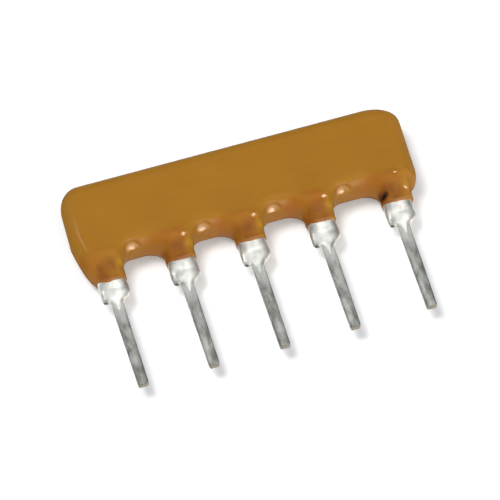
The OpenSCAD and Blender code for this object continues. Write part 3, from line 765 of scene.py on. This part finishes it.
def prong_outline(shift, side):
    """Side view of a prong: out to its face of the ceramic in an S, then straight to the tip."""
    turns = [BEND_ANGLE * k / BEND_STEPS for k in range(BEND_STEPS + 1)]
    run = bend_run(shift)
    line = [(-SHOULDER_H / 2, 0.0, 0.0)]
    line += [(BEND_R * math.sin(h), BEND_R * (1 - math.cos(h)), h) for h in turns]
    line += [(run - BEND_R * math.sin(h), shift - BEND_R * (1 - math.cos(h)), h) for h in turns[::-1]]
    line += [(CLIP_TOP - SHOULDER_H, shift, 0.0)]
    upper = [(u - math.sin(h) * LEAD_T / 2, v + math.cos(h) * LEAD_T / 2) for u, v, h in line]
    lower = [(u + math.sin(h) * LEAD_T / 2, v - math.cos(h) * LEAD_T / 2) for u, v, h in line]
    return [(SHOULDER_H + u, MID_Z + side * v) for u, v in upper + lower[::-1]]


def lead_shape():
    """One lead: the flat strip, the prong in front of the ceramic and the two behind it."""
    bm = bmesh.new()
    plate(bm, strip_outline(), MID_Z - LEAD_T / 2, MID_Z + LEAD_T / 2, (0, 1, 2), STRIP_EDGE)
    half = FRONT_PRONG_W / 2
    plate(bm, prong_outline(FRONT_SHIFT, 1), -half, half, (1, 2, 0), PRONG_EDGE)
    back_w = (SHOULDER_W - FRONT_PRONG_W) / 2 - PRONG_SLOT - PRONG_INSET
    for side in (-1, 1):
        middle = side * (half + PRONG_SLOT + back_w / 2)
        low, high = middle - back_w / 2, middle + back_w / 2
        plate(bm, prong_outline(BACK_SHIFT, -1), low, high, (1, 2, 0), PRONG_EDGE)
    mesh = bpy.data.meshes.new("lead_shape")
    bm.to_mesh(mesh)
    bm.free()
    mesh.materials.append(TIN)
    return link("lead_shape", mesh)


coat = dipped_coat()
solder = row_of_leads("soldered_clips", solder_shape(), SOLDER, SOLDER_RIPPLE, SOLDER_RIPPLE_SIZE)
leads = row_of_leads("tinned_leads", lead_shape(), TIN, ripple=0.0, ripple_size=1.0)

numbered = range(1, LEAD_COUNT + 1)
for piece, slot, stands_for in ((coat, "epoxy_coat", ["conformal_coat"]),
                                (solder, "solder", ["solder_joint_%d" % i for i in numbered]),
                                (leads, "tinned_lead", ["lead_%d" % i for i in numbered])):
    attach(piece, "root")
    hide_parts(*stands_for)

inner = {"ceramic_substrate": ALUMINA, "glass_overglaze": GLAZE, "bus_conductor": SILVER}
for i in range(2, LEAD_COUNT + 1):
    inner["terminal_pad_%d" % i] = SILVER
    inner["resistor_film_%d" % i] = RUTHENATE
for name, material in inner.items():
    nodes[name].data.materials.clear()
    nodes[name].data.materials.append(material)


# Floor, lights and camera

FLOOR_HALF, FLOOR_Z = 0.6, -0.00002
FLOOR_GLOW = 0.215
LAMP_DISTANCE = 0.3
# Lamps: the way towards each, its sides in metres, watts and colour, and whether it lights the part and shows
# in its gloss
LAMPS = {"soft_box": ((-0.3, 0.12, 0.94), (0.1, 0.1), 0.5, "#FFFFFF", True, False),
         "tent_top": ((0.0, 0.05, 1.0), (0.4, 0.4), 0.19, "#FFFFFF", True, True),
         "front_fill": ((0.1, -0.98, 0.2), (0.2, 0.2), 0.5, "#FFF8F0", True, False),
         "right_fill": ((0.95, 0.0, 0.3), (0.2, 0.2), 0.2, "#FFFFFF", True, False),
         "top_card": ((0.18, 0.0, 0.98), (0.06, 0.18), 0.2, "#FFFFFF", False, True),
         "left_card": ((-0.64, 0.5, 0.58), (0.045, 0.045), 0.2, "#FFFFFF", False, True),
         "front_lamp": ((0.24, -0.96, 0.13), (0.1, 0.1), 2.5, "#FFEBD8", False, True)}
# The photograph's view, about 63 degrees up on the side of the pins: the ways back and right, the point that
# it looks at in millimetres, how far that is moved right and up, and the distance
VIEW_BACK, VIEW_RIGHT = (-0.1336, -0.4404, 0.8878), (0.9570, -0.2902, 0.0)
VIEW_AIM, VIEW_MOVE, VIEW_DISTANCE = (-0.17, -0.02, 0.95), (-0.0815, -0.0694), 200
LENS, SENSOR, NEAREST, FARTHEST = 415, 36, 0.01, 10


def white_floor():
    # White paper: it shows white to the eye and in reflections, and keeps the shadow
    material, tree, shader, place = new_material("white_paper")
    grain = add(tree, "ShaderNodeTexNoise", {"Vector": place, "Scale": per_mm(0.4), "Detail": 2.0})
    tone = add(tree, "ShaderNodeMix", {"Factor": (grain, "Fac"), COLOUR_A: linear("#F7F7F7"),
                                       COLOUR_B: linear("#FAFAFA")}, data_type="RGBA")
    rays = add(tree, "ShaderNodeLightPath")
    seen = add(tree, "ShaderNodeMath", {0: (rays, "Is Camera Ray"), 1: (rays, "Is Glossy Ray")},
               operation="MAXIMUM")
    seen = add(tree, "ShaderNodeMath", {0: (seen, "Value"), 1: (rays, "Is Transmission Ray")},
               operation="MAXIMUM")
    lift = add(tree, "ShaderNodeMath", {0: (seen, "Value"), 1: FLOOR_GLOW}, operation="MULTIPLY")
    feed(tree, shader, {"Base Color": (tone, COLOUR), "Roughness": 1.0, "Specular IOR Level": 0.0,
                        "Emission Strength": (lift, "Value"), "Emission Color": linear("#FAFDFF")})
    mesh = bpy.data.meshes.new("floor")
    corners = [(FLOOR_HALF * x, FLOOR_HALF * y, FLOOR_Z) for x, y in ((-1, -1), (1, -1), (1, 1), (-1, 1))]
    mesh.from_pydata(corners, [], [(0, 1, 2, 3)])
    mesh.materials.append(material)
    floor = link("floor", mesh)


def area_lamp(name, toward, size, power, code, lights, mirrored):
    """A soft lamp that faces the part from a direction. It lights it, shows in its gloss, or both."""
    way = Vector(toward).normalized()
    data = bpy.data.lights.new(name, "AREA")
    data.shape = "RECTANGLE"
    data.size, data.size_y = size
    data.energy = power
    data.color = linear(code)[:3]
    lamp = link(name, data)
    lamp.location = way * LAMP_DISTANCE
    lamp.rotation_euler = way.to_track_quat("Z", "Y").to_euler()
    lamp.visible_diffuse = lights
    lamp.visible_glossy = mirrored


def studio_world():
    """A dim, cool room, brighter on the side of the pins."""
    world = bpy.data.worlds.new("studio")
    bpy.context.scene.world = world
    world.use_nodes = True
    sky = world.node_tree
    sky.nodes.clear()
    way = add(sky, "ShaderNodeTexCoord")
    split = add(sky, "ShaderNodeSeparateXYZ", {"Vector": (way, "Generated")})
    front = add(sky, "ShaderNodeMapRange", {"Value": (split, "Y"), "From Min": 0.3, "From Max": -0.9,
                                            "To Min": 0.2, "To Max": 0.32}, interpolation_type="SMOOTHSTEP")
    glow = add(sky, "ShaderNodeBackground", {"Color": linear("#EAF0F8"), "Strength": (front, "Result")})
    add(sky, "ShaderNodeOutputWorld", {"Surface": (glow, "Background")})


def photo_camera():
    """The camera of the photograph's view."""
    back = Vector(VIEW_BACK).normalized()
    right = Vector(VIEW_RIGHT).normalized()
    up = back.cross(right)
    aim = Vector(VIEW_AIM) + right * VIEW_MOVE[0] + up * VIEW_MOVE[1]
    camera = link("camera", bpy.data.cameras.new("camera"))
    camera.data.lens = LENS
    camera.data.sensor_width = SENSOR
    camera.data.clip_start = NEAREST
    camera.data.clip_end = FARTHEST
    turn = Matrix((right, up, back)).transposed().to_4x4()
    camera.matrix_world = Matrix.Translation((aim + back * VIEW_DISTANCE) * MM) @ turn
    bpy.context.scene.camera = camera


white_floor()
for name, lamp in LAMPS.items():
    area_lamp(name, *lamp)
studio_world()
photo_camera()
bpy.context.scene.view_settings.view_transform = "Standard"
